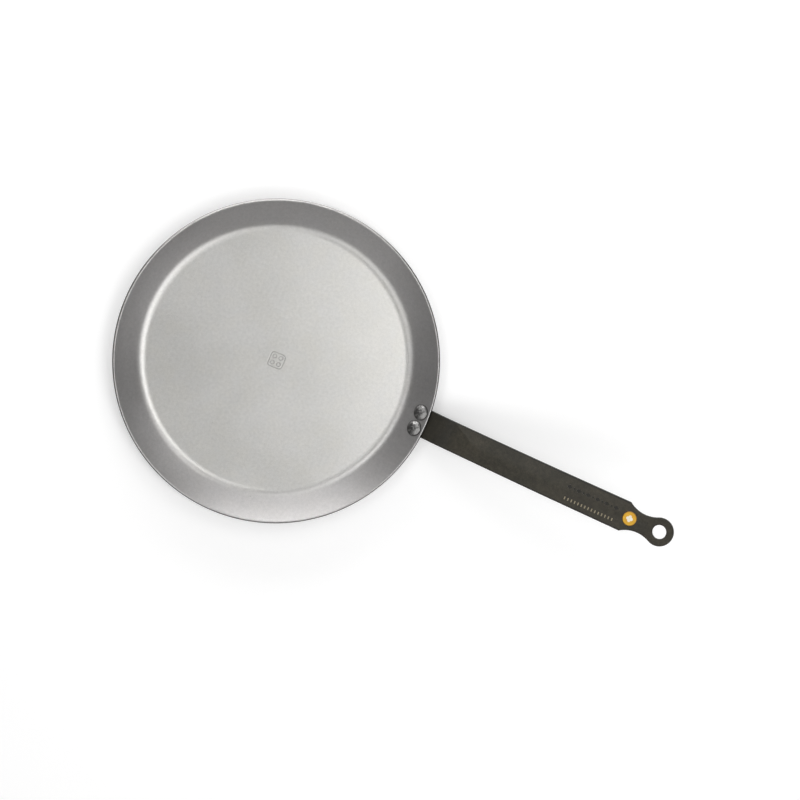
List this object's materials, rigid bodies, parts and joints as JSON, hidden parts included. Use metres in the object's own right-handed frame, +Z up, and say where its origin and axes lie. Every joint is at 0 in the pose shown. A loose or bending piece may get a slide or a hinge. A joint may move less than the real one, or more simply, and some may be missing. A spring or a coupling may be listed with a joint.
{
  "type": "crepe pan",
  "caption": "Low round steel crepe pan with a flared wall, a long riveted strip handle rising from the rim, a small round badge and a ring for hanging.",
  "frame": {"origin": "centre of the pan's underside, on the hob", "axes": "+Z up out of the pan, +X from the pan's centre along the handle, +Y to the left when looking from the pan's centre along the handle"},
  "size_m": [0.4615, 0.2594, 0.093],
  "materials": {
    "pan_steel": "satin, with a fine even grain",
    "handle_coat": "satin dark bronze coat",
    "rivet_steel": "hammered, dull",
    "badge_amber": "smooth gloss enamel",
    "badge_white": "smooth gloss enamel",
    "glue": "dull"
  },
  "bodies": {
    "root": {"pan_body": "pan_steel", "handle": "handle_coat", "rivet_left": "rivet_steel", "rivet_right": "rivet_steel", "badge": "badge_amber", "badge_inlay": "badge_white", "badge_adhesive": "glue"}
  },
  "joints": []
}
